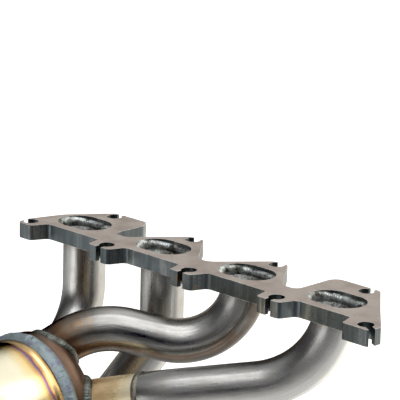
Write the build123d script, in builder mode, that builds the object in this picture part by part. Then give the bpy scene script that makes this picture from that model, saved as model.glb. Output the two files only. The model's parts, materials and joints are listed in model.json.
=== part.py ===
"""Four-into-one tubular exhaust manifold with a built-in catalytic converter.

Frame: the origin is on the head flange's mating face, at the axis of the middle
stud hole of the edge nearest the converter.  X runs along the row of ports, Z
leaves the mating face towards the cylinder head, and the converter runs away
from the cap along -Y.  All lengths are in millimetres.
"""

import os
from math import atan2, cos, degrees, radians, sin

from build123d import *

os.makedirs("parts", exist_ok=True)

# Head flange -----------------------------------------------------------------
flange_t = 12.0
port_x = [-141.0, -55.0, 31.0, 117.0]
port_y = 28.5
port_w = 46.0
port_h = 32.0
stud_hole_r = 5.9
near_y = 0.0
far_y = 58.5
near_x = [-171.5, -86.0, 0.0, 86.0, 167.5]
far_x = [-139.5, -53.5, 32.5, 118.5]
slit_w = 5.0
end_slit_lean = -28.0
near_edge_y = 4.5
boss_y = -9.0
far_edge_y = 66.0
inner_far_edge_y = 63.4

# Runner tubes ----------------------------------------------------------------
tube_r = 16.5
tube_t = 1.5
tube_bore_r = tube_r - tube_t
tube_top_z = -5.5
flare_top_z = -7.5
flare_end_z = -14.0
port_fit = 0.2

# Collector cap: straight skirt, knuckle and shallow crown over the converter axis
axis_x = -75.0
axis_z = -105.0
rim_y = -86.5
cap_r = 54.6
cap_t = 2.0
cap_depth = 36.0
cap_lip = 2.5
skirt_h = 8.0
knuckle_r = 14.0
bead_reach = 4.0
bead_rise = 3.2

# Converter -------------------------------------------------------------------
shell_r = 52.4
shell_t = 1.5
body_r = 51.2
shell_start_y = -84.5
collar_end_y = -98.5
shell_end_y = -219.5
brick_r = 46.5
brick_front_y = -107.5
brick_rear_y = -207.5
seal_w = 4.0
gap = 0.1

# Outlet ----------------------------------------------------------------------
cone_lap_y = -211.5
cone_start_y = -223.5
cone_end_y = -265.5
neck_end_y = -275.5
cone_t = 1.5
pipe_r = 25.4
pipe_t = 1.5
pipe_start_y = -269.5
pipe_end_y = -318.5
outlet_flange_t = 10.0
outlet_face_y = -321.5
outlet_bolt_pitch = 84.0
outlet_bolt_r = 5.25

# Oxygen sensor bungs (M18 x 1.5) -----------------------------------------------
bung_r = 11.5
bung_bore_r = 8.25
bung_h = 12.0
bung_bead = 3.0
front_bung_angle = 214.0
rear_bung_angle = 60.0

# Centrelines: each runner is straight tube between bends ------------------------
port_axis = [(x, port_y) for x in port_x]
butt_point = (6.0, -48.7, -82.8)
stub_end = (-68.0, -77.7, -105.8)
butt_lead = 0.184  # last corner of runner 4 ahead of the butt, as a share of the stub
last_corner = tuple(b + (b - e) * butt_lead for b, e in zip(butt_point, stub_end))
runner_1_points = [(*port_axis[0], flare_end_z), (*port_axis[0], -90), (-105, -93, -96.2)]
runner_2_points = [
    (*port_axis[1], flare_end_z),
    (*port_axis[1], -68),
    (-91, -13.5, -146),
    (-79, -71.5, -134),
]
runner_3_points = [
    (29.7, 27.3, flare_end_z),
    (21.6, 20.3, -62.5),
    (-51.2, -43.6, -43.7),
    (-87.5, -78.2, -78.3),
]
runner_4_points = [
    (*port_axis[3], flare_end_z),
    (109.3, 22.8, -59.4),
    last_corner,
    butt_point,
]
stub_points = [butt_point, stub_end]
runner_1_bends = [45.0]
runner_2_bends = [50.0, 30.0]
runner_3_bends = [48.0, 60.0]
runner_4_bends = [66.0, 92.0]

cap_axis = Axis((axis_x, 0, axis_z), (0, 1, 0))
axis_plane = Plane(origin=(axis_x, 0, axis_z), x_dir=(1, 0, 0), z_dir=(0, 0, 1))


def boss_outline(x):
    """Corner points and corner radii of one stud boss on the near edge."""
    corners = [(x + 15, near_edge_y), (x + 10, boss_y), (x - 11, boss_y), (x - 14, near_edge_y)]
    return list(zip(corners, [5.0, 4.5, 3.0, 2.5]))


def flange_outline():
    """Corner points and radii right round the head flange."""
    far_side = [
        ((-178.5, 1.5), 3.0),
        ((-169.5, 32.5), 20.0),
        ((-145, far_edge_y), 8.0),
        ((-111, far_edge_y), 5.0),
        ((-105, 56.5), 4.0),
        ((-105, 25), 6.4),
        ((-91.7, 25), 6.0),
        ((-60, inner_far_edge_y), 6.0),
        ((-47, inner_far_edge_y), 4.0),
        ((-10.5, 19.5), 11.0),
        ((26, inner_far_edge_y), 6.0),
        ((39, inner_far_edge_y), 4.0),
        ((69.5, 24), 8.0),
        ((83, 24), 6.0),
        ((83, far_edge_y), 8.0),
        ((125, far_edge_y), 6.0),
        ((153, 32.5), 30.0),
        ((178.5, 3), 3.0),
    ]
    near_side = [((178, boss_y), 4.0), ((154, boss_y), 2.0), ((150, near_edge_y), 2.5)]
    for x in reversed(near_x[1:4]):
        near_side += boss_outline(x)
    near_side += [((-156.5, near_edge_y), 5.0), ((-162, boss_y), 4.5), ((-176, boss_y), 4.0)]
    return far_side + near_side


with BuildPart() as head_flange:
    with BuildSketch(Plane.XY.offset(-flange_t)):
        corners = flange_outline()
        with BuildLine():
            FilletPolyline(*[c[0] for c in corners], radius=[c[1] for c in corners], close=True)
        make_face()
        with Locations(*[(x, port_y) for x in port_x]):
            SlotOverall(port_w, port_h, mode=Mode.SUBTRACT)
        with Locations(*[(x, near_y) for x in near_x], *[(x, far_y) for x in far_x]):
            Circle(stud_hole_r, mode=Mode.SUBTRACT)
        with Locations(*[(x, near_y - 10) for x in near_x[1:4]], *[(x, far_y + 10) for x in far_x]):
            Rectangle(slit_w, 20, mode=Mode.SUBTRACT)
        with Locations((near_x[0] - 10, near_y)):
            Rectangle(20, slit_w, mode=Mode.SUBTRACT)
        end_slit = Vector(10, 0).rotate(Axis.Z, end_slit_lean)
        with Locations((near_x[4] + end_slit.X, near_y + end_slit.Y)):
            Rectangle(20, slit_w, rotation=end_slit_lean, mode=Mode.SUBTRACT)
    extrude(amount=flange_t)


def flared_end(x, points):
    """Tube end formed from the first straight's round up to the racetrack port."""
    slot_w = port_w - 2 * port_fit
    slot_h = port_h - 2 * port_fit
    round_end = Plane(points[0], x_dir=(1, 0, 0), z_dir=Vector(*points[0]) - Vector(*points[1]))
    with BuildPart() as flare:
        with BuildSketch(Plane.XY.offset(flare_top_z)):
            with Locations((x, port_y)):
                SlotOverall(slot_w, slot_h)
        with BuildSketch(round_end):
            Circle(tube_r)
        loft()
        with BuildSketch(Plane.XY.offset(flare_top_z)):
            with Locations((x, port_y)):
                SlotOverall(slot_w, slot_h)
        extrude(amount=tube_top_z - flare_top_z)
        with BuildSketch(Plane.XY.offset(flare_top_z)):
            with Locations((x, port_y)):
                SlotOverall(slot_w - 2 * tube_t, slot_h - 2 * tube_t)
        with BuildSketch(round_end):
            Circle(tube_bore_r)
        loft(mode=Mode.SUBTRACT)
        with BuildSketch(Plane.XY.offset(flare_top_z)):
            with Locations((x, port_y)):
                SlotOverall(slot_w - 2 * tube_t, slot_h - 2 * tube_t)
        extrude(amount=tube_top_z - flare_top_z, mode=Mode.SUBTRACT)
    return flare.part


def bent_tube(points, bends, outer_r, inner_r=0.0):
    """Tube or rod swept along straights joined by bends."""
    with BuildPart() as tube:
        with BuildLine() as centreline:
            if bends:
                FilletPolyline(*points, radius=bends)
            else:
                Line(*points)
        with BuildSketch(Plane(centreline.line @ 0, z_dir=centreline.line % 0)):
            Circle(outer_r)
            if inner_r:
                Circle(inner_r, mode=Mode.SUBTRACT)
        sweep()
    return tube.part


def dome_profile(radius, depth, knuckle, lip):
    """Half profile of the cap: skirt, knuckle arc, then a crown arc to the axis."""
    skirt_y = rim_y + skirt_h
    rise = depth - skirt_h
    reach = radius - knuckle
    crown = (reach**2 + rise**2 - knuckle**2) / (2 * (rise - knuckle))
    lean = atan2(crown - rise, reach)
    CenterArc((reach, skirt_y), knuckle, 0, degrees(lean))
    CenterArc((0, skirt_y + rise - crown), crown, degrees(lean), 90 - degrees(lean))
    Line((0, rim_y + depth), (0, rim_y - lip))
    Line((0, rim_y - lip), (radius, rim_y - lip))
    Line((radius, rim_y - lip), (radius, skirt_y))


def cap_block(offset, lip=cap_lip):
    """Solid cap shape, grown outwards by an offset, with a skirt of length lip."""
    with BuildPart() as block:
        with BuildSketch(axis_plane):
            with BuildLine():
                dome_profile(cap_r + offset, cap_depth + offset, knuckle_r + offset, lip)
            make_face()
        revolve(axis=cap_axis)
    return block.part


cap_outside = cap_block(0)
cap_inside = cap_block(-cap_t, 30)
cap_grown = cap_block(bead_rise)


def runner(points, bends, x):
    """Whole runner: flared end in the flange, bent tube, end cut to the cap."""
    with BuildPart() as tube:
        add(flared_end(x, points))
        add(bent_tube(points, bends, tube_r, tube_bore_r))
        add(cap_inside, mode=Mode.SUBTRACT)
        add(head_flange.part, mode=Mode.SUBTRACT)
    return tube


def port_bead(x):
    """Seam weld round the tube end, inside one port."""
    with BuildPart() as bead:
        with BuildSketch(Plane.XY.offset(tube_top_z)):
            with Locations((x, port_y)):
                SlotOverall(port_w, port_h)
                SlotOverall(port_w - 7, port_h - 7, mode=Mode.SUBTRACT)
        extrude(amount=3.2)
        inner = bead.faces().sort_by(Axis.Z)[-1].inner_wires()[0].edges()
        fillet(inner, 2.4)
    return bead


# Runners and their port welds ---------------------------------------------------
runner_1_tube = runner(runner_1_points, runner_1_bends, port_x[0])
runner_2_tube = runner(runner_2_points, runner_2_bends, port_x[1])
runner_3_tube = runner(runner_3_points, runner_3_bends, port_x[2])
runner_4_tube = runner(runner_4_points, runner_4_bends, port_x[3])
with BuildPart() as runner_4_stub:
    add(bent_tube(stub_points, [], tube_r, tube_bore_r))
    add(cap_inside, mode=Mode.SUBTRACT)

port_weld_1 = port_bead(port_x[0])
port_weld_2 = port_bead(port_x[1])
port_weld_3 = port_bead(port_x[2])
port_weld_4 = port_bead(port_x[3])

# Rods the size of each runner's outside, for cutting the cap and the beads
runner_1_rod = bent_tube(runner_1_points, runner_1_bends, tube_r + 0.05)
runner_2_rod = bent_tube(runner_2_points, runner_2_bends, tube_r + 0.05)
runner_3_rod = bent_tube(runner_3_points, runner_3_bends, tube_r + 0.05)
runner_4_rod = bent_tube(runner_4_points, runner_4_bends, tube_r + 0.05)
stub_rod = bent_tube(stub_points, [], tube_r + 0.05)


def cap_bead(points, rod):
    """Weld bead where a runner meets the cap, following the joint."""
    with BuildPart() as bead:
        add(bent_tube(points[-2:], [], tube_r + bead_reach))
        add(cap_grown, mode=Mode.INTERSECT)
        add(cap_outside, mode=Mode.SUBTRACT)
        add(cap_weld_band.part, mode=Mode.SUBTRACT)
        add(rod, mode=Mode.SUBTRACT)
    return bead


def off_axis(angle, rho, y):
    """Point at a radius from the converter axis."""
    return Vector(axis_x + rho * cos(radians(angle)), y, axis_z + rho * sin(radians(angle)))


def leaning(angle, lean):
    """Unit direction leaning from straight out of the axis towards +Y."""
    out = cos(radians(lean))
    return Vector(out * cos(radians(angle)), sin(radians(lean)), out * sin(radians(angle)))


def straight_rod(plane, radius, start, length):
    """Plain rod square to a plane, for cutting or adding."""
    with BuildPart() as rod:
        with BuildSketch(plane.offset(start)):
            Circle(radius)
        extrude(amount=length)
    return rod.part


def turned(*outline):
    """Ring turned about the converter axis from (radius, y) corners."""
    with BuildPart() as ring:
        with BuildSketch(axis_plane):
            with BuildLine():
                Polyline(*outline, close=True)
            make_face()
        revolve(axis=cap_axis)
    return ring


def weld_ring(inner_r, y, height, length):
    """Fillet weld turned round a tube of radius inner_r, against a step at y."""
    with BuildPart() as ring:
        with BuildSketch(axis_plane):
            with BuildLine():
                Line((inner_r, y), (inner_r + height, y))
                bulge = (inner_r + 0.72 * height, y + 0.66 * length)
                ThreePointArc((inner_r + height, y), bulge, (inner_r, y + length))
                Line((inner_r, y + length), (inner_r, y))
            make_face()
        revolve(axis=cap_axis)
    return ring


def sensor_bung(plane, seat):
    """Threaded boss sitting on a curved seat."""
    with BuildPart() as bung:
        add(straight_rod(plane, bung_r, -6, bung_h + 6))
        add(straight_rod(plane, bung_bore_r, -8, bung_h + 10), mode=Mode.SUBTRACT)
        add(seat, mode=Mode.SUBTRACT)
    return bung


def bung_fillet(plane, seat, grown_seat):
    """Weld bead round the foot of a sensor boss."""
    with BuildPart() as bead:
        add(straight_rod(plane, bung_r + bung_bead, -8, bung_h + 8))
        add(grown_seat, mode=Mode.INTERSECT)
        add(seat, mode=Mode.SUBTRACT)
        add(straight_rod(plane, bung_r + 0.05, -8, bung_h + 10), mode=Mode.SUBTRACT)
    return bead


# Collector cap, its runner beads and the front sensor bung ------------------------
front_bung_lean = 45.0
front_bung_rho = cap_r - knuckle_r * (1 - cos(radians(front_bung_lean)))
front_bung_y = rim_y + skirt_h + knuckle_r * sin(radians(front_bung_lean))
front_bung_plane = Plane(
    off_axis(front_bung_angle, front_bung_rho, front_bung_y),
    z_dir=leaning(front_bung_angle, front_bung_lean),
)

with BuildPart() as collector_cap:
    add(cap_outside)
    add(cap_block(-cap_t), mode=Mode.SUBTRACT)
    for rod in (runner_1_rod, runner_2_rod, runner_3_rod, stub_rod):
        add(rod, mode=Mode.SUBTRACT)
    add(straight_rod(front_bung_plane, bung_bore_r, -10, 20), mode=Mode.SUBTRACT)

# Heavy band of weld where the cap laps over the converter shell
with BuildPart() as cap_weld_band:
    with BuildSketch(axis_plane):
        with BuildLine():
            top = (cap_r + 0.05, rim_y + 0.7)
            toe = (shell_r + 0.05, rim_y - 8.6)
            ThreePointArc(top, (cap_r + 1.7, rim_y - 3.4), toe)
            Polyline(toe, (toe[0], rim_y - cap_lip - 0.05), (top[0], rim_y - cap_lip - 0.05), top)
        make_face()
    revolve(axis=cap_axis)
    add(stub_rod, mode=Mode.SUBTRACT)

cap_weld_1 = cap_bead(runner_1_points, runner_1_rod)
cap_weld_2 = cap_bead(runner_2_points, runner_2_rod)
cap_weld_3 = cap_bead(runner_3_points, runner_3_rod)
cap_weld_4 = cap_bead(stub_points, stub_rod)

front_sensor_bung = sensor_bung(front_bung_plane, cap_outside)
front_bung_weld = bung_fillet(front_bung_plane, cap_outside, cap_grown)

# Butt weld between runner 4 and its stub
with BuildPart() as runner_4_butt_weld:
    with Locations(Plane(stub_points[0], z_dir=Vector(*stub_points[1]) - Vector(*stub_points[0]))):
        Torus(tube_r - 0.6, 2.4)
    add(runner_4_rod, mode=Mode.SUBTRACT)
    add(stub_rod, mode=Mode.SUBTRACT)

# Converter ----------------------------------------------------------------------
step_y = collar_end_y - 2
bore_step = shell_r - body_r
converter_shell = turned(
    (shell_r - shell_t, shell_start_y),
    (shell_r, shell_start_y),
    (shell_r, collar_end_y),
    (body_r, step_y),
    (body_r, shell_end_y),
    (body_r - shell_t, shell_end_y),
    (body_r - shell_t, step_y - 0.6),
    (shell_r - shell_t, collar_end_y - 0.6),
)
mat_out = body_r - shell_t - gap
mat_in = brick_r + gap


def packing(start_y, end_y):
    """Ring filling the space between the brick and the shell."""
    return turned((mat_in, start_y), (mat_out, start_y), (mat_out, end_y), (mat_in, end_y))


catalyst_brick = turned(
    (0, brick_front_y),
    (brick_r, brick_front_y),
    (brick_r, brick_rear_y),
    (0, brick_rear_y),
)
support_mat = packing(brick_front_y - seal_w, brick_rear_y + seal_w)
front_mesh_seal = packing(brick_front_y, brick_front_y - seal_w + gap)
rear_mesh_seal = packing(brick_rear_y, brick_rear_y + seal_w - gap)

# Outlet -------------------------------------------------------------------------
lap_in = body_r + gap
neck_in = pipe_r + gap
with BuildPart() as cone_outside:
    with BuildSketch(axis_plane):
        with BuildLine():
            Polyline(
                (0, cone_lap_y),
                (lap_in + cone_t, cone_lap_y),
                (lap_in + cone_t, cone_start_y),
                (neck_in + cone_t, cone_end_y),
                (neck_in + cone_t, neck_end_y),
                (0, neck_end_y),
                close=True,
            )
        make_face()
    revolve(axis=cap_axis)

cone_lean = -degrees(atan2(lap_in - neck_in, cone_start_y - cone_end_y))
rear_bung_rho = (lap_in + neck_in) / 2 + cone_t
rear_bung_y = (cone_start_y + cone_end_y) / 2
rear_bung_plane = Plane(
    off_axis(rear_bung_angle, rear_bung_rho, rear_bung_y),
    z_dir=leaning(rear_bung_angle, cone_lean),
)

outlet_cone = turned(
    (lap_in, cone_lap_y),
    (lap_in + cone_t, cone_lap_y),
    (lap_in + cone_t, cone_start_y),
    (neck_in + cone_t, cone_end_y),
    (neck_in + cone_t, neck_end_y),
    (neck_in, neck_end_y),
    (neck_in, cone_end_y),
    (lap_in, cone_start_y),
)
with outlet_cone:
    add(straight_rod(rear_bung_plane, bung_bore_r, -10, 20), mode=Mode.SUBTRACT)

cone_grown = turned(
    (0, cone_start_y + 8),
    (lap_in + cone_t + bead_rise, cone_start_y + 1),
    (neck_in + cone_t + bead_rise, cone_end_y + 1),
    (0, cone_end_y),
)
rear_sensor_bung = sensor_bung(rear_bung_plane, cone_outside.part)
rear_bung_weld = bung_fillet(rear_bung_plane, cone_outside.part, cone_grown.part)

outlet_cone_weld = weld_ring(body_r + 0.05, cone_lap_y + 0.05, cone_t + 0.4, 4.5)
outlet_pipe = turned(
    (pipe_r - pipe_t, pipe_start_y),
    (pipe_r, pipe_start_y),
    (pipe_r, pipe_end_y),
    (pipe_r - pipe_t, pipe_end_y),
)
outlet_pipe_weld = weld_ring(pipe_r + 0.05, neck_end_y - 0.05, cone_t + 0.8, -5.0)

outlet_plane = Plane(origin=(axis_x, outlet_face_y, axis_z), x_dir=(1, 0, 0), z_dir=(0, -1, 0))
with BuildPart() as outlet_flange:
    with BuildSketch(outlet_plane.offset(-outlet_flange_t)):
        Circle(36)
        with GridLocations(outlet_bolt_pitch, 0, 2, 1):
            Circle(12.5)
        make_hull()
        Circle(pipe_r + gap, mode=Mode.SUBTRACT)
        with GridLocations(outlet_bolt_pitch, 0, 2, 1):
            Circle(outlet_bolt_r, mode=Mode.SUBTRACT)
    extrude(amount=outlet_flange_t)
    chamfer(outlet_flange.faces().sort_by(Axis.Y)[-1].outer_wire().edges(), 0.8)
outlet_flange_weld = weld_ring(pipe_r + 0.05, outlet_face_y + outlet_flange_t + 0.05, 4.5, 5.0)

pieces = {
    "head_flange": head_flange,
    "runner_1_tube": runner_1_tube,
    "runner_2_tube": runner_2_tube,
    "runner_3_tube": runner_3_tube,
    "runner_4_tube": runner_4_tube,
    "runner_4_stub": runner_4_stub,
    "runner_4_butt_weld": runner_4_butt_weld,
    "port_weld_1": port_weld_1,
    "port_weld_2": port_weld_2,
    "port_weld_3": port_weld_3,
    "port_weld_4": port_weld_4,
    "collector_cap": collector_cap,
    "cap_weld_1": cap_weld_1,
    "cap_weld_2": cap_weld_2,
    "cap_weld_3": cap_weld_3,
    "cap_weld_4": cap_weld_4,
    "cap_weld_band": cap_weld_band,
    "converter_shell": converter_shell,
    "catalyst_brick": catalyst_brick,
    "support_mat": support_mat,
    "front_mesh_seal": front_mesh_seal,
    "rear_mesh_seal": rear_mesh_seal,
    "outlet_cone": outlet_cone,
    "outlet_cone_weld": outlet_cone_weld,
    "outlet_pipe": outlet_pipe,
    "outlet_pipe_weld": outlet_pipe_weld,
    "outlet_flange": outlet_flange,
    "outlet_flange_weld": outlet_flange_weld,
    "front_sensor_bung": front_sensor_bung,
    "front_bung_weld": front_bung_weld,
    "rear_sensor_bung": rear_sensor_bung,
    "rear_bung_weld": rear_bung_weld,
}

for name, piece in pieces.items():
    piece.part.label = name
    export_step(piece.part, f"parts/{name}.step")
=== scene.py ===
"""Looks of the exhaust manifold: bare welded steel, heat-tinted, on a pale studio floor.

All lengths are in metres, in the CAD's own frame.
"""

import json
import math

import bmesh
import bpy
import numpy as np
from mathutils import Matrix, Vector
from mathutils.bvhtree import BVHTree

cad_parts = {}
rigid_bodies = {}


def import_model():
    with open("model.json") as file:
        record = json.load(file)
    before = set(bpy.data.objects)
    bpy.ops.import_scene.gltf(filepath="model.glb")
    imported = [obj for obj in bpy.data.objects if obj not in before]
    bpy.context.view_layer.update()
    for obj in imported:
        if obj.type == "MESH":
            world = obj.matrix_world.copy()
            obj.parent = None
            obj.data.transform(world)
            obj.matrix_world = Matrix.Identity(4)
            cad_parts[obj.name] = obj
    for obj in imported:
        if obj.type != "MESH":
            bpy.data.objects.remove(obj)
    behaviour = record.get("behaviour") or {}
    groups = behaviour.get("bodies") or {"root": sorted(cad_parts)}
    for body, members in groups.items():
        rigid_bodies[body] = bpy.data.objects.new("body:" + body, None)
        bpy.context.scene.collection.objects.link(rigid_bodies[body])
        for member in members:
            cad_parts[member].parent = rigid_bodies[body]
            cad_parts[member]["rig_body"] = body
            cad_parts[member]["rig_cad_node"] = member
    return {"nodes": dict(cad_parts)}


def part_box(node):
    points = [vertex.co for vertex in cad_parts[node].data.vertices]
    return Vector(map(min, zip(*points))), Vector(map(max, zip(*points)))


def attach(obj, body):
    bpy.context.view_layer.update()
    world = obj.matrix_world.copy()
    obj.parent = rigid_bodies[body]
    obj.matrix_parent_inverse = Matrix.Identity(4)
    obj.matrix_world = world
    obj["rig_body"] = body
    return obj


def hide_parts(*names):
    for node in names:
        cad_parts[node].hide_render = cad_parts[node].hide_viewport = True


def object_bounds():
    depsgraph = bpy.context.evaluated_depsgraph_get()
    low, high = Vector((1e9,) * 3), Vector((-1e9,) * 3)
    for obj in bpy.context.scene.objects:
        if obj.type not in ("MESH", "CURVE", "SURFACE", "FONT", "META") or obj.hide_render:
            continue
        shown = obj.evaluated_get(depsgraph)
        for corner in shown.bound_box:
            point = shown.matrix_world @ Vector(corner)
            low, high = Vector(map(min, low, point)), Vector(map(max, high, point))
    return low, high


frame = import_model()
nodes = frame["nodes"]
cad_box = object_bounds()
scene = bpy.context.scene
rng = np.random.default_rng(4)

MM = 0.001

# Sizes: the tubes' are the drawn ones, the rest come from the frame ----------------
TUBE_R = 16.5 * MM
TUBE_WALL = 1.5 * MM
flange_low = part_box("head_flange")[0]
shell_low, shell_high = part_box("converter_shell")
cap_low, cap_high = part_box("collector_cap")
AXIS = Vector(((cap_low.x + cap_high.x) / 2, 0, (cap_low.z + cap_high.z) / 2))
CAP_R = (cap_high.x - cap_low.x) / 2
SHELL_R = (shell_high.x - shell_low.x) / 2
CAP_LIP = 2.5 * MM
RIM_Y = cap_low.y + CAP_LIP  # the cap's rim, which the band is welded over
PORT_BOXES = [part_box(f"port_weld_{number}") for number in range(1, 5)]


def at(x, y, z):
    """A point given in millimetres."""
    return Vector((x, y, z)) * MM


# Centrelines of the tubes, the same bends as the solids ---------------------------
RUNNERS = {
    "runner_1_tube": ([at(-141, 28.5, -3), at(-141, 28.5, -90), at(-105, -93, -96.2)], [45]),
    "runner_2_tube": (
        [at(-55, 28.5, -3), at(-55, 28.5, -68), at(-91, -13.5, -146), at(-79, -71.5, -134)],
        [50, 30]),
    "runner_3_tube": (
        [at(31.5, 28.9, -3), at(21.6, 20.3, -62.5), at(-51.2, -43.6, -43.7), at(-87.5, -78.2, -78.3)],
        [48, 60]),
    "runner_4_tube": (
        [at(118.9, 29.9, -3), at(109.3, 22.8, -59.4), at(19.6, -43.36, -78.57), at(6, -48.7, -82.8)],
        [66, 92]),
}
STUB = [at(6, -48.7, -82.8), at(-68, -77.7, -105.8)]


def bent(points, radii, step=2 * MM):
    """Points along straights joined by round bends."""
    out = [points[0]]
    for before, corner, after, radius in zip(points, points[1:], points[2:], radii):
        back = (before - corner).normalized()
        onward = (after - corner).normalized()
        angle = back.angle(onward)
        tangent = radius / math.tan(angle / 2)
        centre = corner + (back + onward).normalized() * (radius / math.sin(angle / 2))
        arm = corner + back * tangent - centre
        turn = math.pi - angle
        axis = arm.cross(corner + onward * tangent - centre).normalized()
        count = max(3, int(turn * radius / step))
        out += [centre + Matrix.Rotation(turn * k / count, 3, axis) @ arm for k in range(count + 1)]
    out.append(points[-1])
    fine = [out[0]]
    for a, b in zip(out, out[1:]):
        count = max(1, int((b - a).length / step))
        fine += [a.lerp(b, (k + 1) / count) for k in range(count)]
    return fine


def centreline(name):
    """Centre points of one tube, from its flange end or butt joint onward."""
    if name == "runner_4_stub":
        return bent(STUB, [])
    points, radii = RUNNERS[name]
    return bent(points, [r * MM for r in radii])


def carried_frames(points):
    """Distance, centre, direction and two cross directions at each centre point."""
    centres = np.array([list(q) for q in points])
    ahead = np.gradient(centres, axis=0)
    ahead /= np.linalg.norm(ahead, axis=1)[:, None]
    steps = np.linalg.norm(np.diff(centres, axis=0), axis=1)
    distances = np.concatenate([[0], np.cumsum(steps)])
    side = np.cross(ahead[0], [0.3, 1.0, 0.2])
    side /= np.linalg.norm(side)
    sides = []
    for direction in ahead:
        side = side - direction * (side @ direction)
        side /= np.linalg.norm(side)
        sides.append(side)
    sides = np.array(sides)
    return distances, centres, ahead, sides, np.cross(ahead, sides)


def stretch_out(obj, points):
    """Stores each vertex's place in the tube as it was before bending: across, across, along."""
    distances, centres, ahead, first, second = carried_frames(points)
    vertices = np.array([list(v.co) for v in obj.data.vertices])
    place = np.zeros((len(vertices), 3), np.float32)
    for i, vertex in enumerate(vertices):
        k = int(np.argmin(((centres - vertex) ** 2).sum(1)))
        off = vertex - centres[k]
        place[i] = (off @ first[k], off @ second[k], distances[k] + off @ ahead[k])
    layer = obj.data.attributes.new("unbent", "FLOAT_VECTOR", "POINT")
    layer.data.foreach_set("vector", place.ravel())


def twin(name, material):
    """A copy of a CAD node that can carry extra data and stands for it."""
    copy = nodes[name].copy()
    copy.data = nodes[name].data.copy()
    copy.name = name + "_shown"
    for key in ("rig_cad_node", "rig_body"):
        if key in copy:
            del copy[key]
    copy.parent = None
    copy.matrix_world = Matrix.Identity(4)
    scene.collection.objects.link(copy)
    copy.data.materials.clear()
    copy.data.materials.append(material)
    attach(copy, "root")
    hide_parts(name)
    return copy


# Shader building -----------------------------------------------------------------
class Wiring:
    """Adds and links nodes in one node tree."""

    def __init__(self, tree):
        self.tree = tree

    def node(self, kind, inputs=None, **settings):
        """A new node with its settings made and its inputs fed."""
        made = self.tree.nodes.new(kind)
        for key, value in settings.items():
            setattr(made, key, value)
        for key, value in (inputs or {}).items():
            self.feed(made.inputs[key], value)
        return made

    def feed(self, socket, value):
        """Links another node's output to a socket, or sets a plain value on it."""
        if isinstance(value, bpy.types.NodeSocket):
            self.tree.links.new(value, socket)
        else:
            socket.default_value = value

    def stretched(self, vector, scale, move=(0, 0, 0)):
        inputs = {"Vector": vector, "Scale": scale, "Location": move}
        return self.node("ShaderNodeMapping", inputs).outputs[0]

    def noise(self, vector, scale, detail=4.0, rough=0.55):
        inputs = {"Vector": vector, "Scale": scale, "Detail": detail, "Roughness": rough}
        return self.node("ShaderNodeTexNoise", inputs).outputs["Fac"]

    def ramp(self, value, stops):
        """A value turned into colour, from stops of (value, colour)."""
        made = self.node("ShaderNodeValToRGB", {"Fac": value})
        elements = made.color_ramp.elements
        while len(elements) < len(stops):
            elements.new(0.5)
        for element, (spot, colour) in zip(elements, stops):
            element.position = spot
            element.color = (*colour, 1)
        return made.outputs["Color"]

    def grey(self, value, low, high, out_low=0.0, out_high=1.0):
        """A value's range stretched over another range, and held at its ends."""
        inputs = {"Value": value, "From Min": low, "From Max": high, "To Min": out_low, "To Max": out_high}
        return self.node("ShaderNodeMapRange", inputs).outputs["Result"]

    def maths(self, operation, a, b=0.0):
        made = self.node("ShaderNodeMath", operation=operation)
        self.feed(made.inputs[0], a)
        self.feed(made.inputs[1], b)
        return made.outputs[0]

    def mix(self, share, a, b):
        """Two colours mixed. The node's colour sockets can only be told apart by number."""
        made = self.node("ShaderNodeMix", data_type="RGBA")
        self.feed(made.inputs["Factor"], share)
        for number, colour in ((6, a), (7, b)):
            if not isinstance(colour, bpy.types.NodeSocket):
                colour = (*colour, 1)
            self.feed(made.inputs[number], colour)
        return made.outputs[2]

    def distance(self, vector, point):
        made = self.node("ShaderNodeVectorMath", {0: vector, 1: tuple(point)}, operation="DISTANCE")
        return made.outputs["Value"]

    def dot(self, vector, direction):
        made = self.node("ShaderNodeVectorMath", {0: vector, 1: tuple(direction)}, operation="DOT_PRODUCT")
        return made.outputs["Value"]

    def part(self, vector, letter):
        return self.node("ShaderNodeSeparateXYZ", {"Vector": vector}).outputs[letter]


class Shader(Wiring):
    """One metal or ceramic, wired into its own material."""

    def __init__(self, name):
        self.material = bpy.data.materials.new(name)
        self.material.use_nodes = True
        super().__init__(self.material.node_tree)
        self.bsdf = self.tree.nodes["Principled BSDF"]

    def place(self, unbent=False):
        """Position in the shared frame, or in the tube as it was before bending."""
        if unbent:
            return self.node("ShaderNodeAttribute", attribute_name="unbent").outputs["Vector"]
        return self.node("ShaderNodeTexCoord").outputs["Object"]

    def bump(self, height, strength, depth, after=None):
        inputs = {"Height": height, "Strength": strength, "Distance": depth}
        if after is not None:
            inputs["Normal"] = after
        return self.node("ShaderNodeBump", inputs).outputs["Normal"]

    def finish(self, colour, rough, normal=None, metallic=1.0, **extra):
        self.feed(self.bsdf.inputs["Base Color"], colour)
        self.feed(self.bsdf.inputs["Roughness"], rough)
        self.feed(self.bsdf.inputs["Metallic"], metallic)
        if normal is not None:
            self.feed(self.bsdf.inputs["Normal"], normal)
        for key, value in extra.items():
            self.feed(self.bsdf.inputs[key], value)
        return self.material


# Materials -----------------------------------------------------------------------
GREY = (0.43, 0.425, 0.41)
DARK = (0.13, 0.13, 0.13)
RUST = (0.24, 0.135, 0.05)


def rusted(shader, vector, colour, spots):
    """Orange-brown rust round given points, each with a reach."""
    patchy = shader.noise(vector, 260, 5, 0.7)
    for point, reach in spots:
        near = shader.grey(shader.distance(vector, point), reach * 0.25, reach, 1.0, 0.0)
        cover = shader.grey(shader.maths("MULTIPLY", near, patchy), 0.22, 0.42)
        colour = shader.mix(cover, colour, RUST)
    return colour


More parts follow.
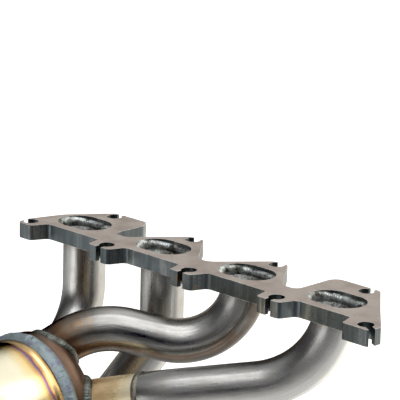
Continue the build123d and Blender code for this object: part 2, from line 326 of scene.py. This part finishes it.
def sided(shader, run, colour, angle, width, tone, strength, wobble):
    """Tones one side of a tube, found by its angle round the unbent centreline: the painted shade and
    painted reflection bands, and the seam.
    """
    facing = shader.dot(run, (math.cos(angle), math.sin(angle), 0))
    facing = shader.maths("ADD", facing, shader.grey(wobble, 0.3, 0.7, -0.1 * TUBE_R, 0.1 * TUBE_R))
    edge, core = TUBE_R * math.cos(width), TUBE_R * math.cos(width * 0.35)
    return shader.mix(shader.grey(facing, edge, core, 0.0, strength), colour, tone)


def cap_end_tint(shader, heat):
    """Brown heat tint of a runner, gone 55 mm from its joint with the cap: colours and their share."""
    tint = shader.ramp(shader.grey(heat, 0.015, 0.050), [
        (0.0, (0.10, 0.055, 0.035)),
        (0.25, (0.26, 0.13, 0.055)),
        (0.45, (0.25, 0.16, 0.09)),
        (0.70, (0.17, 0.145, 0.12)),
        (1.0, (0.30, 0.29, 0.27)),
    ])
    return tint, shader.grey(heat, 0.026, 0.055, 0.90, 0.0)


def stub_tint(shader, heat):
    """Gold heat tint over the whole stub: colours and their share."""
    tint = shader.ramp(shader.grey(heat, 0.015, 0.070), [
        (0.0, (0.26, 0.16, 0.09)),
        (0.14, (0.72, 0.47, 0.23)),
        (0.40, (0.97, 0.80, 0.48)),
        (0.80, (0.98, 0.91, 0.72)),
        (1.0, (0.94, 0.90, 0.80)),
    ])
    return tint, shader.grey(heat, 0.070, 0.095, 0.95, 0.6)


def tube_steel(name, heat_from, rust, stub, seam, sides):
    """Satin drawn tube, tinted brown or gold where it was welded to the cap. Runner 3 gets a painted
    shaded underside and runner 4 a painted pale reflection on its lower front; the dark band under the
    plate is partly painted shade, partly heat tint.
    """
    s = Shader(name)
    here = s.place()
    run = s.place(unbent=True)
    streaks = s.noise(s.stretched(run, (1, 1, 0.04)), 460, 6, 0.65)
    broad = s.noise(s.stretched(run, (1, 1, 0.22)), 52, 4, 0.6)
    clouds = s.noise(run, 60, 5, 0.65)
    fine = s.noise(run, 2400, 3, 0.7)
    colour = s.ramp(broad, [(0.30, (0.27, 0.265, 0.255)), (0.50, GREY), (0.72, (0.55, 0.545, 0.53))])
    colour = s.mix(s.grey(streaks, 0.45, 0.75, 0.0, 0.45), colour, DARK)
    colour = s.mix(s.grey(clouds, 0.50, 0.76, 0.0, 0.45), colour, (0.33, 0.28, 0.225))
    pits = s.noise(s.stretched(run, (1, 1, 0.35)), 1100, 2, 0.5)
    colour = s.mix(s.grey(pits, 0.68, 0.74, 0.0, 0.55), colour, (0.09, 0.08, 0.07))
    # painted shade and painted reflection laid on chosen sides of the tube
    for angle, width, tone, strength in sides:
        colour = sided(s, run, colour, angle, width, tone, strength, clouds)
    away = s.distance(here, heat_from)
    heat = s.maths("ADD", away, s.grey(clouds, 0.3, 0.7, -0.009, 0.009))
    tint, share = stub_tint(s, heat) if stub else cap_end_tint(s, heat)
    colour = s.mix(share, colour, tint)
    # dark brown band just under the plate: partly painted contact shadow, partly heat tint
    under_plate_shade_and_burn = s.grey(s.part(here, "Z"), -0.020, -0.0125, 0.0, 0.6)
    colour = s.mix(under_plate_shade_and_burn, colour, (0.16, 0.12, 0.09))
    if seam is not None:
        colour = sided(s, run, colour, seam, 0.20, (0.20, 0.12, 0.07), 0.75, streaks)
    colour = rusted(s, here, colour, rust)
    rough = s.grey(s.maths("ADD", streaks, s.maths("MULTIPLY", clouds, 0.8)), 0.6, 1.2, 0.20, 0.40)
    normal = s.bump(streaks, 0.20, 0.0004)
    normal = s.bump(fine, 0.10, 0.0002, normal)
    normal = s.bump(broad, 0.40, 0.0012, normal)
    return s.finish(colour, rough, normal, metallic=0.6 if stub else 1.0)


def tube_bore():
    """Inside of the tubes: bright and rough at the flared mouth, near black further down."""
    s = Shader("tube_bore")
    here = s.place()
    lumps = s.noise(here, 330, 5, 0.7)
    fine = s.noise(here, 1400, 4, 0.7)
    rough_metal = s.ramp(lumps, [
        (0.34, (0.08, 0.08, 0.07)),
        (0.50, (0.45, 0.46, 0.44)),
        (0.66, (0.80, 0.82, 0.80)),
    ])
    dark_deeper = s.ramp(lumps, [(0.3, (0.012, 0.010, 0.009)), (0.7, (0.05, 0.038, 0.028))])
    deep = s.maths("ADD", s.part(here, "Z"), s.grey(lumps, 0.3, 0.7, -0.0015, 0.0015))
    colour = s.mix(s.grey(deep, -0.0150, -0.0095, 1.0, 0.0), rough_metal, dark_deeper)
    normal = s.bump(s.maths("ADD", lumps, fine), 0.7, 0.0010)
    return s.finish(colour, s.grey(lumps, 0.3, 0.7, 0.35, 0.65), normal, metallic=0.85)


def plate_face():
    """Ground mating face: warm grey, fine crossed scratches, a few stains."""
    s = Shader("flange_face")
    here = s.place()
    grind = s.noise(s.stretched(here, (0.06, 1, 1)), 900, 5, 0.7)
    cross = s.noise(s.stretched(here, (1, 0.08, 1)), 620, 4, 0.7)
    clouds = s.noise(here, 38, 6, 0.6)
    stains = s.noise(s.stretched(here, (1, 1, 1), (3, 1, 0)), 90, 5, 0.7)
    speck = s.noise(here, 900, 3, 0.8)
    colour = s.ramp(clouds, [
        (0.28, (0.43, 0.37, 0.33)),
        (0.48, (0.55, 0.48, 0.435)),
        (0.62, (0.60, 0.54, 0.50)),
        (0.78, (0.50, 0.475, 0.45)),
    ])
    colour = s.mix(s.grey(grind, 0.48, 0.80, 0.0, 0.45), colour, (0.20, 0.175, 0.16))
    colour = s.mix(s.grey(stains, 0.60, 0.74, 0.0, 0.45), colour, (0.24, 0.165, 0.13))
    colour = s.mix(s.grey(speck, 0.66, 0.78, 0.0, 0.5), colour, (0.15, 0.10, 0.08))
    rough = s.grey(s.maths("ADD", grind, clouds), 0.7, 1.3, 0.38, 0.55)
    normal = s.bump(s.maths("ADD", grind, cross), 0.25, 0.0002)
    return s.finish(colour, rough, normal, metallic=0.55)


def plate_side(rust):
    """Cut edge: dark blue-grey scale with cutting lines across the thickness."""
    s = Shader("flange_cut_edge")
    here = s.place()
    lines = s.noise(s.stretched(here, (1, 1, 0.03)), 640, 4, 0.7)
    wide = s.noise(s.stretched(here, (1, 1, 0.12)), 75, 3, 0.5)
    clouds = s.noise(here, 150, 5, 0.65)
    colour = s.ramp(wide, [
        (0.30, (0.07, 0.085, 0.09)),
        (0.48, (0.125, 0.145, 0.152)),
        (0.62, (0.19, 0.21, 0.212)),
        (0.74, (0.55, 0.55, 0.53)),
    ])
    colour = s.mix(s.grey(lines, 0.42, 0.72, 0.0, 0.5), colour, (0.06, 0.065, 0.07))
    colour = s.mix(s.grey(clouds, 0.58, 0.75, 0.0, 0.40), colour, (0.16, 0.11, 0.08))
    colour = rusted(s, here, colour, rust)
    rough = s.grey(clouds, 0.3, 0.7, 0.20, 0.42)
    normal = s.bump(lines, 0.35, 0.0005)
    normal = s.bump(clouds, 0.2, 0.0004, normal)
    return s.finish(colour, rough, normal)


def painted_highlight_edge():
    """Broken corner of the plate, painted near-white as a highlight line along the bevel."""
    s = Shader("flange_edge_painted_highlight")
    here = s.place()
    nicks = s.noise(here, 420, 5, 0.7)
    # the near-white tones here are a painted highlight on the corner
    colour = s.ramp(nicks, [
        (0.36, (0.22, 0.21, 0.20)),
        (0.46, (0.75, 0.74, 0.72)),
        (0.66, (0.96, 0.95, 0.93)),
    ])
    return s.finish(colour, 0.42, s.bump(nicks, 0.4, 0.0004), metallic=0.25)


def plate_under(rust):
    """Mill skin on the underside, brown near the tubes."""
    s = Shader("flange_underside")
    here = s.place()
    clouds = s.noise(here, 60, 6, 0.65)
    colour = s.ramp(clouds, [(0.3, (0.12, 0.105, 0.095)), (0.7, (0.30, 0.27, 0.25))])
    colour = rusted(s, here, colour, rust)
    return s.finish(colour, s.grey(clouds, 0.3, 0.7, 0.40, 0.62), s.bump(clouds, 0.3, 0.0008))


def weld(name, tones, rough, grain, metallic):
    """Oxide-skinned weld metal in several tones."""
    s = Shader(name)
    here = s.place()
    clouds = s.noise(here, 130, 5, 0.65)
    fine = s.noise(here, grain, 4, 0.7)
    count = len(tones) - 1
    colour = s.ramp(clouds, [(0.28 + 0.46 * i / count, tone) for i, tone in enumerate(tones)])
    colour = s.mix(s.grey(fine, 0.55, 0.8, 0.0, 0.5), colour, (0.10, 0.10, 0.10))
    normal = s.bump(fine, 0.4, 0.0005)
    return s.finish(colour, s.grey(clouds, 0.3, 0.7, *rough), normal, metallic=metallic)


def cap_skin():
    """Pressed cap, burnt brown, darker by the band and toward the runners."""
    s = Shader("cap_skin")
    here = s.place()
    clouds = s.noise(here, 55, 5, 0.6)
    fine = s.noise(here, 1500, 4, 0.7)
    arcs = s.noise(s.stretched(here, (0.25, 2.2, 0.25)), 260, 4, 0.65)
    along = s.maths("ADD", s.part(here, "Y"), s.grey(clouds, 0.3, 0.7, -0.003, 0.003))
    colour = s.ramp(s.grey(along, RIM_Y, RIM_Y + 30 * MM), [
        (0.0, (0.12, 0.08, 0.06)),
        (0.18, (0.24, 0.16, 0.115)),
        (0.45, (0.28, 0.18, 0.13)),
        (0.7, (0.20, 0.135, 0.10)),
        (1.0, (0.17, 0.135, 0.115)),
    ])
    colour = s.mix(s.grey(arcs, 0.42, 0.66, 0.0, 0.65), colour, (0.15, 0.095, 0.07))
    rough = s.grey(clouds, 0.3, 0.7, 0.30, 0.44)
    normal = s.bump(arcs, 0.12, 0.0004)
    normal = s.bump(fine, 0.08, 0.0002, normal)
    return s.finish(colour, rough, normal)


TINT_REACH = 80 * MM  # distance from a weld over which the tint colours run


def shell_skin(name, start, other=None):
    """Polished sheet: thin gold, purple and blue bands by the weld, with a pale band among them that is a
    painted highlight, then straw, then a second set.
    """
    s = Shader(name)
    here = s.place()
    clouds = s.noise(here, 30, 4, 0.55)
    patches = s.noise(here, 13, 3, 0.5)
    fine = s.noise(s.stretched(here, (0.2, 2.0, 0.2)), 500, 4, 0.7)
    spots = s.noise(here, 420, 3, 0.6)
    away = s.maths("ABSOLUTE", s.maths("SUBTRACT", s.part(here, "Y"), start))
    if other is not None:
        far = s.maths("ABSOLUTE", s.maths("SUBTRACT", s.part(here, "Y"), other))
        away = s.maths("MINIMUM", away, far)
    wave_height = s.grey(away, 0.004, 0.060, 0.001, 0.026)
    wave = s.maths("MULTIPLY", s.grey(patches, 0.25, 0.75, -0.9, 0.9), wave_height)
    small = s.grey(clouds, 0.3, 0.7, -0.0016, 0.0016)
    heat = s.maths("DIVIDE", s.maths("ADD", away, s.maths("ADD", wave, small)), TINT_REACH)
    colour = s.ramp(heat, [
        (0.000, (0.05, 0.035, 0.03)),
        (0.012, (0.60, 0.36, 0.13)),
        # the pale stop 4 mm from the weld is a painted highlight line round the shell
        (0.050, (0.80, 0.60, 0.30)),
        (0.075, (0.72, 0.42, 0.16)),
        (0.092, (0.24, 0.09, 0.16)),
        (0.105, (0.22, 0.20, 0.36)),
        (0.118, (0.62, 0.34, 0.14)),
        (0.165, (0.95, 0.74, 0.36)),
        (0.28, (0.97, 0.91, 0.70)),
        (0.48, (0.94, 0.88, 0.70)),
        (0.62, (0.92, 0.72, 0.38)),
        (0.70, (0.66, 0.34, 0.16)),
        (0.75, (0.28, 0.12, 0.26)),
        (0.80, (0.22, 0.26, 0.46)),
        (0.87, (0.40, 0.44, 0.42)),
        (1.00, (0.52, 0.50, 0.45)),
    ])
    colour = s.mix(s.grey(spots, 0.66, 0.74, 0.0, 0.4), colour, (0.30, 0.22, 0.14))
    rough = s.grey(clouds, 0.3, 0.7, 0.20, 0.32)
    normal = s.bump(clouds, 0.25, 0.002)
    normal = s.bump(fine, 0.07, 0.0002, normal)
    return s.finish(colour, rough, normal)


def plain_steel(name, tone, grain=(1, 1, 1)):
    """Turned or sheared steel with a light grain."""
    s = Shader(name)
    here = s.place()
    lines = s.noise(s.stretched(here, grain), 700, 5, 0.7)
    clouds = s.noise(here, 70, 5, 0.6)
    darker = tuple(c * 0.55 for c in tone)
    colour = s.ramp(clouds, [(0.3, darker), (0.7, tone)])
    return s.finish(colour, s.grey(lines, 0.3, 0.7, 0.26, 0.46), s.bump(lines, 0.3, 0.0003))


def honeycomb():
    """Ceramic brick: square cells on its two ends."""
    s = Shader("catalyst_ceramic")
    here = s.place()
    across = s.node("ShaderNodeCombineXYZ", {"X": s.part(here, "X"), "Y": s.part(here, "Z")}).outputs[0]
    cells = s.node("ShaderNodeTexBrick", {
        "Vector": across,
        "Color1": (0.03, 0.025, 0.02, 1),
        "Color2": (0.05, 0.04, 0.03, 1),
        "Mortar": (0.58, 0.47, 0.34, 1),
        "Scale": 1.0,
        "Mortar Size": 0.22 * MM,
        "Brick Width": 1.3 * MM,
        "Row Height": 1.3 * MM,
    }, offset=0.0)
    return s.finish(cells.outputs["Color"], 0.85, s.bump(cells.outputs["Fac"], 0.6, 0.0008), metallic=0.0)


def fibre(name, tone, metallic=0.0):
    """Fibre mat or knitted wire."""
    s = Shader(name)
    here = s.place()
    strands = s.noise(s.stretched(here, (1, 0.25, 1)), 900, 4, 0.8)
    darker = tuple(c * 0.4 for c in tone)
    colour = s.ramp(strands, [(0.35, darker), (0.65, tone)])
    rough = 0.45 if metallic else 0.8
    return s.finish(colour, rough, s.bump(strands, 0.8, 0.0008), metallic=metallic)


# Beads of weld ---------------------------------------------------------------------
BEAD_STRIPS = 10  # faces across a bead, edge to edge
LEAST_HEIGHT = 0.15  # a bead is never lower than this share of its crest


def rippled(rings, ripple, rough, waves, swell):
    """Points across each ring of a bead, with ripples, longer lumps and a fine grain."""
    count = len(rings)
    phase = rng.uniform(0, 6.28)
    lumps = np.convolve(np.tile(rng.normal(0, 1, count), 3), np.ones(9) / 9, "same")[count:2 * count]
    points = []
    for i, (edge_a, crest, edge_b) in enumerate(rings):
        centre = (edge_a + edge_b) / 2
        for j in range(BEAD_STRIPS + 1):
            t = j / BEAD_STRIPS
            lag = 2.2 * (t - 0.5) ** 2
            wave = math.sin(2 * math.pi * waves * i / count + phase - 5 * lag)
            size = 1 + ripple * wave * math.sin(math.pi * t) + rough * lumps[i] * 1.6
            size += rng.normal(0, 0.25 * rough)
            if swell:
                size *= swell(i / count, t)
            top = centre + (crest - centre) * max(LEAST_HEIGHT, size)
            points.append(edge_a * (1 - t) ** 2 + top * 2 * t * (1 - t) + edge_b * t * t)
    return points


def strip_faces(count):
    """Four-sided faces between neighbouring rings, closed all the way round."""
    row = BEAD_STRIPS + 1
    faces = []
    for i in range(count):
        for j in range(BEAD_STRIPS):
            a, b = i * row + j, (i + 1) % count * row + j
            faces.append((a, b, b + 1, a + 1))
    return faces


def bead(name, material, rings, ripple, rough, waves, swell=None):
    """Ripple-skinned weld bead. Each ring is (edge on one part, crest, edge on the other)."""
    points = rippled(rings, ripple, rough, waves, swell)
    faces = strip_faces(len(rings))
    mesh = bpy.data.meshes.new(name)
    mesh.from_pydata([tuple(p) for p in points], [], faces)
    mesh.polygons.foreach_set("use_smooth", [True] * len(faces))
    mesh.update()
    obj = bpy.data.objects.new(name, mesh)
    scene.collection.objects.link(obj)
    work = bmesh.new()
    work.from_mesh(mesh)
    bmesh.ops.recalc_face_normals(work, faces=work.faces)
    work.to_mesh(mesh)
    work.free()
    mesh.materials.append(material)
    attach(obj, "root")
    return obj


def tree_of(name):
    """A CAD node's faces, ready for casting rays at them."""
    mesh = nodes[name].data
    return BVHTree.FromPolygons([v.co for v in mesh.vertices], [tuple(p.vertices) for p in mesh.polygons])


def ring_directions(direction, count):
    """Evenly spaced directions round a line, square to it."""
    side = direction.orthogonal().normalized()
    return [Matrix.Rotation(2 * math.pi * i / count, 3, direction) @ side for i in range(count)]


OFF_TUBE = 1.2 * MM  # how far outside the tube the seat is looked for, clear of the cap's hole
SUNK = 0.2 * MM  # how deep a bead's edges lie in the metal they join


def joint_rings(start, end, seat, up_wall, out_face, crest, count=260):
    """Bead rings where a round tube lands on a curved seat."""
    direction = (end - start).normalized()
    rings = []
    for out in ring_directions(direction, count):
        hit, normal, _, _ = seat.ray_cast(start + out * (TUBE_R + OFF_TUBE), direction)
        if hit is None:
            continue
        foot = hit - out * OFF_TUBE
        along = (out - normal * out.dot(normal)).normalized()
        edge_a = foot - direction * up_wall - out * SUNK
        edge_b = foot + along * out_face - normal * SUNK
        top = foot + (along * out_face - direction * up_wall) * 0.5 + (out + normal).normalized() * crest
        rings.append((edge_a, top, edge_b))
    return rings


def turned_rings(profile, count):
    """Bead rings round the converter axis from three (radius, y) corners."""
    rings = []
    for i in range(count):
        angle = 2 * math.pi * i / count
        out = Vector((math.cos(angle), 0, math.sin(angle)))
        rings.append(tuple(AXIS + out * r + Vector((0, y, 0)) for r, y in profile))
    return rings


# Tubes ------------------------------------------------------------------------------
def landing_lines():
    """For each tube that meets the cap, the last straight of its axis: start and end."""
    lines = {}
    for name in ("runner_1_tube", "runner_2_tube", "runner_3_tube"):
        path = centreline(name)
        end = path[-1]
        lines[name] = (end + (path[-5] - end).normalized() * 55 * MM, end)
    lines["runner_4_stub"] = STUB
    return lines


def landing_place(line, seat):
    """Middle of the ring where a tube's outside meets the cap."""
    start, end = line
    direction = (end - start).normalized()
    hits = []
    for out in ring_directions(direction, 12):
        hit = seat.ray_cast(start + out * (TUBE_R + OFF_TUBE), direction)[0]
        if hit is not None:
            hits.append(hit)
    return sum(hits, Vector()) / len(hits)


def line_bore(obj):
    """Gives the faces inside a tube, and its flared mouth, their own material."""
    place = obj.data.attributes["unbent"].data
    middle_wall = TUBE_R - TUBE_WALL / 2
    for face in obj.data.polygons:
        spots = [place[v].vector for v in face.vertices]
        inside = max(math.hypot(p.x, p.y) for p in spots) < middle_wall
        in_plate = min(obj.data.vertices[v].co.z for v in face.vertices) > flange_low.z - 0.1 * MM
        face.material_index = 1 if inside or in_plate else 0


def side_angle(path, share, direction):
    """Angle round the unbent centreline of a direction in space, part way along a tube."""
    _, centres, _, first, second = carried_frames(path)
    k = int(share * (len(centres) - 1))
    return math.atan2(float(np.dot(second[k], direction)), float(np.dot(first[k], direction)))


TUBE_RUST = {
    "runner_3_tube": [(at(50, 30, -14), 12 * MM)],
    "runner_4_tube": [(at(136, 26, -15), 12 * MM)],
}


def painted_side_light_and_shade(name, path):
    """Painted shade on runner 3's underside and a painted pale reflection on runner 4's lower front:
    angle, reach, tone, strength.
    """
    if name == "runner_3_tube":
        # painted shade: runner 3's underside darkened
        return [(side_angle(path, 0.6, (0.2, -0.2, -1.0)), 1.25, (0.06, 0.045, 0.03), 0.92)]
    if name == "runner_4_tube":
        # painted reflection: runner 4's lower front made pale
        return [(side_angle(path, 0.6, (0.45, -0.45, -0.8)), 1.2, (0.80, 0.80, 0.78), 0.7)]
    return []


def add_tube(name, heat_from, bore_skin):
    """A tube with its own skin outside and the shared one inside."""
    path = centreline(name)
    stub = name == "runner_4_stub"
    rust = TUBE_RUST.get(name, ())
    seam = side_angle(path, 0.1, (0.95, -0.25, 0)) if name == "runner_3_tube" else None
    skin = tube_steel(name + "_skin", heat_from, rust, stub, seam, painted_side_light_and_shade(name, path))
    shown = twin(name, skin)
    shown.data.materials.append(bore_skin)
    stretch_out(shown, path)
    line_bore(shown)


cap_tree = tree_of("collector_cap")
landings = landing_lines()
joints = {name: landing_place(line, cap_tree) for name, line in landings.items()}
bore_skin = tube_bore()
for name in (*RUNNERS, "runner_4_stub"):
    add_tube(name, joints.get(name, joints["runner_4_stub"]), bore_skin)

# Flange ------------------------------------------------------------------------------
TOP, CUT_SIDE, CORNER, UNDERSIDE = range(4)
CORNER_SIZE = 0.6 * MM


def break_corners(work):
    """Bevels every sharp edge of the plate."""
    bmesh.ops.remove_doubles(work, verts=work.verts, dist=1e-6)
    bmesh.ops.dissolve_limit(work, angle_limit=math.radians(0.5), verts=work.verts, edges=work.edges)
    sharp = [e for e in work.edges if len(e.link_faces) == 2 and e.calc_face_angle() > math.radians(60)]
    bmesh.ops.bevel(
        work, geom=sharp, offset=CORNER_SIZE, segments=2, profile=0.6, affect="EDGES", clamp_overlap=True)
    bmesh.ops.triangulate(work, faces=work.faces)


def kind_of_face(normal):
    """Which of the plate's four materials a face takes."""
    if normal.z > 0.99:
        return TOP
    if normal.z < -0.99:
        return UNDERSIDE
    if abs(normal.z) < 0.05:
        return CUT_SIDE
    return CORNER


def add_flange():
    """The plate with broken corners and a material for each kind of face."""
    rust_spots = [(at(-2, -5, -6), 8 * MM), (at(16, -6, -11), 9 * MM)]
    tube_spots = [((low + high) / 2, 30 * MM) for low, high in PORT_BOXES]
    plate = twin("head_flange", plate_face())
    plate.data.materials.append(plate_side(rust_spots))
    plate.data.materials.append(painted_highlight_edge())
    plate.data.materials.append(plate_under(tube_spots))
    work = bmesh.new()
    work.from_mesh(plate.data)
    break_corners(work)
    for face in work.faces:
        face.material_index = kind_of_face(face.normal)
        face.smooth = False
    work.to_mesh(plate.data)
    work.free()


add_flange()

# Welds ---------------------------------------------------------------------------------
bead_grey = weld(
    "bead_oxide",
    [(0.04, 0.035, 0.025), (0.10, 0.10, 0.085), (0.20, 0.225, 0.205), (0.12, 0.09, 0.065)],
    (0.32, 0.5), 800, 0.75)
for number, line in enumerate(landings.values(), 1):
    rings = joint_rings(*line, cap_tree, up_wall=4.2 * MM, out_face=4.0 * MM, crest=2.6 * MM)
    made = bead(f"cap_bead_{number}", bead_grey, rings, ripple=0.08, rough=0.22, waves=58)
    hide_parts(f"cap_weld_{number}")

band_skin = weld(
    "band_oxide",
    [(0.10, 0.12, 0.14), (0.18, 0.225, 0.25), (0.28, 0.35, 0.36), (0.22, 0.24, 0.32), (0.17, 0.13, 0.19)],
    (0.36, 0.55), 500, 0.45)
BAND_END_Y = RIM_Y - 8.8 * MM
BAND = [(CAP_R + 0.1 * MM, RIM_Y + 1.2 * MM), (CAP_R + 3.6 * MM, RIM_Y - 3.2 * MM), (SHELL_R, BAND_END_Y)]
STOP = 0.235  # where the band starts and stops, as a share of the way round


def crater(round_share, across):
    """The band's start and stop: a lump with a pit in it."""
    off = (round_share - STOP) * 2 * math.pi * CAP_R
    lump = 0.60 * math.exp(-((off / (4.5 * MM)) ** 2))
    pit = 1.70 * math.exp(-((off / (1.8 * MM)) ** 2) - ((across - 0.55) / 0.20) ** 2)
    return 1 + lump - pit


rings = turned_rings(BAND, 900)
made = bead("band_bead", band_skin, rings, ripple=0.02, rough=0.10, waves=150, swell=crater)
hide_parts("cap_weld_band")


def port_rings(low, high, count=280):
    """Bead rings round the racetrack wall of a port, lifted toward its minus X end."""
    centre = (low + high) / 2
    half_w, half_h = (high.x - low.x) / 2, (high.y - low.y) / 2
    rings = []
    for i in range(count):
        around = 2 * math.pi * i / count
        out = Vector((math.cos(around), math.sin(around), 0))
        shift = Vector((math.copysign(half_w - half_h, out.x), 0, 0)) if abs(out.x) > 1e-6 else Vector()
        wall = Vector((centre.x, centre.y, low.z)) + shift + out * half_h
        lift = 2.4 * MM * max(0.0, -out.x) ** 2
        upper = wall + at(0, 0, 2.8) + Vector((0, 0, lift))
        crest = wall - out * 4.2 * MM + at(0, 0, 1.2) + Vector((0, 0, lift))
        rings.append((upper, crest, wall - out * 1.8 * MM - at(0, 0, 3.0)))
    return rings


silver = weld(
    "port_bead_metal",
    [(0.04, 0.04, 0.035), (0.09, 0.09, 0.08), (0.44, 0.46, 0.45), (0.72, 0.77, 0.77), (0.80, 0.83, 0.80)],
    (0.26, 0.5), 420, 0.8)
for number, (low, high) in enumerate(PORT_BOXES, 1):
    made = bead(f"port_bead_{number}", silver, port_rings(low, high), ripple=0.18, rough=0.30, waves=46)
    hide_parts(f"port_weld_{number}")


def butt_rings():
    """Bead rings round the joint between runner 4 and its stub."""
    direction = (STUB[1] - STUB[0]).normalized()
    half = direction * 2.4 * MM
    rings = []
    for out in ring_directions(direction, 220):
        foot = STUB[0] + out * (TUBE_R - 0.1 * MM)
        rings.append((foot - half, foot + out * 2.2 * MM, foot + half))
    return rings


butt_tones = [(0.07, 0.065, 0.055), (0.17, 0.16, 0.13), (0.34, 0.33, 0.28)]
butt_dark = weld("butt_bead_metal", butt_tones, (0.3, 0.5), 900, 0.7)
made = bead("butt_bead", butt_dark, butt_rings(), ripple=0.15, rough=0.30, waves=60)
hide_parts("runner_4_butt_weld")

# Cap, converter and outlet -----------------------------------------------------------------
FINISHES = {
    "collector_cap": cap_skin(),
    "converter_shell": shell_skin("shell_skin", BAND_END_Y + 0.1 * MM, shell_low.y),
    "outlet_cone": shell_skin("cone_skin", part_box("outlet_cone")[1].y),
    "outlet_pipe": plain_steel("pipe_skin", GREY, (1, 0.05, 1)),
    "outlet_flange": plain_steel("outlet_flange_skin", (0.40, 0.38, 0.36)),
    "front_sensor_bung": plain_steel("bung_skin", (0.55, 0.54, 0.52)),
    "catalyst_brick": honeycomb(),
    "support_mat": fibre("mat_fibres", (0.75, 0.72, 0.66)),
    "front_mesh_seal": fibre("knitted_wire", (0.55, 0.55, 0.54), 1.0),
    "outlet_cone_weld": bead_grey,
}
SAME = {
    "rear_sensor_bung": "front_sensor_bung",
    "rear_mesh_seal": "front_mesh_seal",
    "outlet_pipe_weld": "outlet_cone_weld",
    "outlet_flange_weld": "outlet_cone_weld",
    "front_bung_weld": "outlet_cone_weld",
    "rear_bung_weld": "outlet_cone_weld",
}
for name, obj in nodes.items():
    if obj.hide_render:
        continue
    obj.data.materials.clear()
    obj.data.materials.append(FINISHES[SAME.get(name, name)])


# Studio ------------------------------------------------------------------------------------
def pale_floor():
    """Matt white with a little light of its own, so that the floor stays pale in the shade."""
    s = Shader("pale_floor")
    here = s.place()
    soft = s.noise(here, 3, 3, 0.5)
    colour = s.ramp(soft, [(0.3, (0.86, 0.86, 0.86)), (0.7, (0.90, 0.90, 0.90))])
    extra = {"Emission Color": (1, 1, 1, 1), "Emission Strength": 0.45}
    return s.finish(colour, 0.75, metallic=0.0, **extra)


def add_floor():
    """Floor just under the part, left out of the metal's reflections."""
    lowest = cad_box[0][2]
    bpy.ops.mesh.primitive_plane_add(size=40, location=(0, 0, lowest - 0.5 * MM))
    floor = bpy.context.object
    floor.name = "studio_floor"
    floor.data.materials.append(pale_floor())
    floor.visible_glossy = False


def add_key():
    """One broad light from above, leaning a little toward the camera's side."""
    key = bpy.data.lights.new("key", "SUN")
    key.angle = math.radians(58)
    key.energy = 1.35
    key_obj = bpy.data.objects.new("key", key)
    key_obj.rotation_euler = (-Vector((0.24, -0.30, 0.92))).to_track_quat("-Z", "Y").to_euler()
    scene.collection.objects.link(key_obj)


CAMERA_SIDE = Vector((0.695, -0.719, 0))
CAMERA_RIGHT = Vector((0.719, 0.695, 0))


def heading(turn, rise):
    """Direction turned from the camera's side toward its right, raised by an angle, in degrees."""
    turn, rise = math.radians(turn), math.radians(rise)
    level = CAMERA_SIDE * math.cos(turn) + CAMERA_RIGHT * math.sin(turn)
    return level * math.cos(rise) + Vector((0, 0, math.sin(rise)))


# Bright and dark patches of the surroundings: direction, degrees from it to where the patch
# starts to fade, degrees to where it ends, and the light it adds or takes away.
LOBES = [
    (heading(125, -14), 30, 50, (0.95, 0.90, 0.80)),
    (heading(-60, -12), 9, 22, (1.30, 1.30, 1.30)),
    (heading(50, -14), 7, 16, (0.9, 0.9, 0.88)),
    (heading(-92, -18), 10, 22, (0.35, 0.36, 0.36)),
    (heading(15, -12), 20, 45, (-0.22, -0.22, -0.21)),
    (heading(180, -8), 22, 44, (-0.20, -0.20, -0.20)),
    (heading(-20, 28), 10, 24, (0.36, 0.37, 0.38)),
    (heading(94, 22), 22, 33, (1.7, 1.6, 1.4)),
    (heading(140, 44), 22, 46, (0.62, 0.60, 0.55)),
]


def surroundings():
    """The world: grey levels by height, with the patches added."""
    world = bpy.data.worlds.new("studio")
    world.use_nodes = True
    scene.world = world
    sky = Wiring(world.node_tree)
    ray = sky.node("ShaderNodeTexCoord").outputs["Generated"]
    light = sky.ramp(sky.grey(sky.part(ray, "Z"), -1, 1), [
        (0.00, (0.80, 0.79, 0.77)),
        (0.24, (0.78, 0.77, 0.75)),
        (0.37, (0.44, 0.44, 0.435)),
        (0.49, (0.22, 0.22, 0.22)),
        (0.52, (0.07, 0.07, 0.075)),
        (0.72, (0.07, 0.07, 0.075)),
        (0.84, (0.33, 0.335, 0.34)),
        (1.00, (0.62, 0.63, 0.65)),
    ])
    for direction, core, rim, colour in LOBES:
        toward = sky.dot(ray, direction)
        fade = sky.grey(toward, math.cos(math.radians(rim)), math.cos(math.radians(core)))
        glow = sky.node("ShaderNodeVectorMath", {0: colour, "Scale": fade}, operation="SCALE").outputs[0]
        light = sky.node("ShaderNodeVectorMath", {0: light, 1: glow}, operation="ADD").outputs[0]
    sky.feed(world.node_tree.nodes["Background"].inputs["Color"], light)


add_floor()
add_key()
surroundings()
scene.view_settings.view_transform = "Standard"
scene.view_settings.look = "None"

# Camera --------------------------------------------------------------------------------------
AZIMUTH, ELEVATION, ROLL = 44.0, 14.93, 1.59  # degrees
CAMERA_PLACE = (1.09970, -1.12914, 0.47252)


def add_camera():
    """The photograph's own point of view."""
    camera = bpy.data.cameras.new("camera")
    camera.lens = 205.1
    camera.sensor_width = 36
    camera.clip_end = 60
    view = bpy.data.objects.new("camera", camera)
    az, el, roll = (math.radians(v) for v in (AZIMUTH, ELEVATION, ROLL))
    back = Vector((math.sin(az) * math.cos(el), -math.cos(az) * math.cos(el), math.sin(el)))
    right = Vector((math.cos(az), math.sin(az), 0))
    up = back.cross(right)
    turn = Matrix((right, up, back)).transposed() @ Matrix.Rotation(roll, 3, "Z")
    view.matrix_world = Matrix.Translation(CAMERA_PLACE) @ turn.to_4x4()
    scene.collection.objects.link(view)
    scene.camera = view


add_camera()
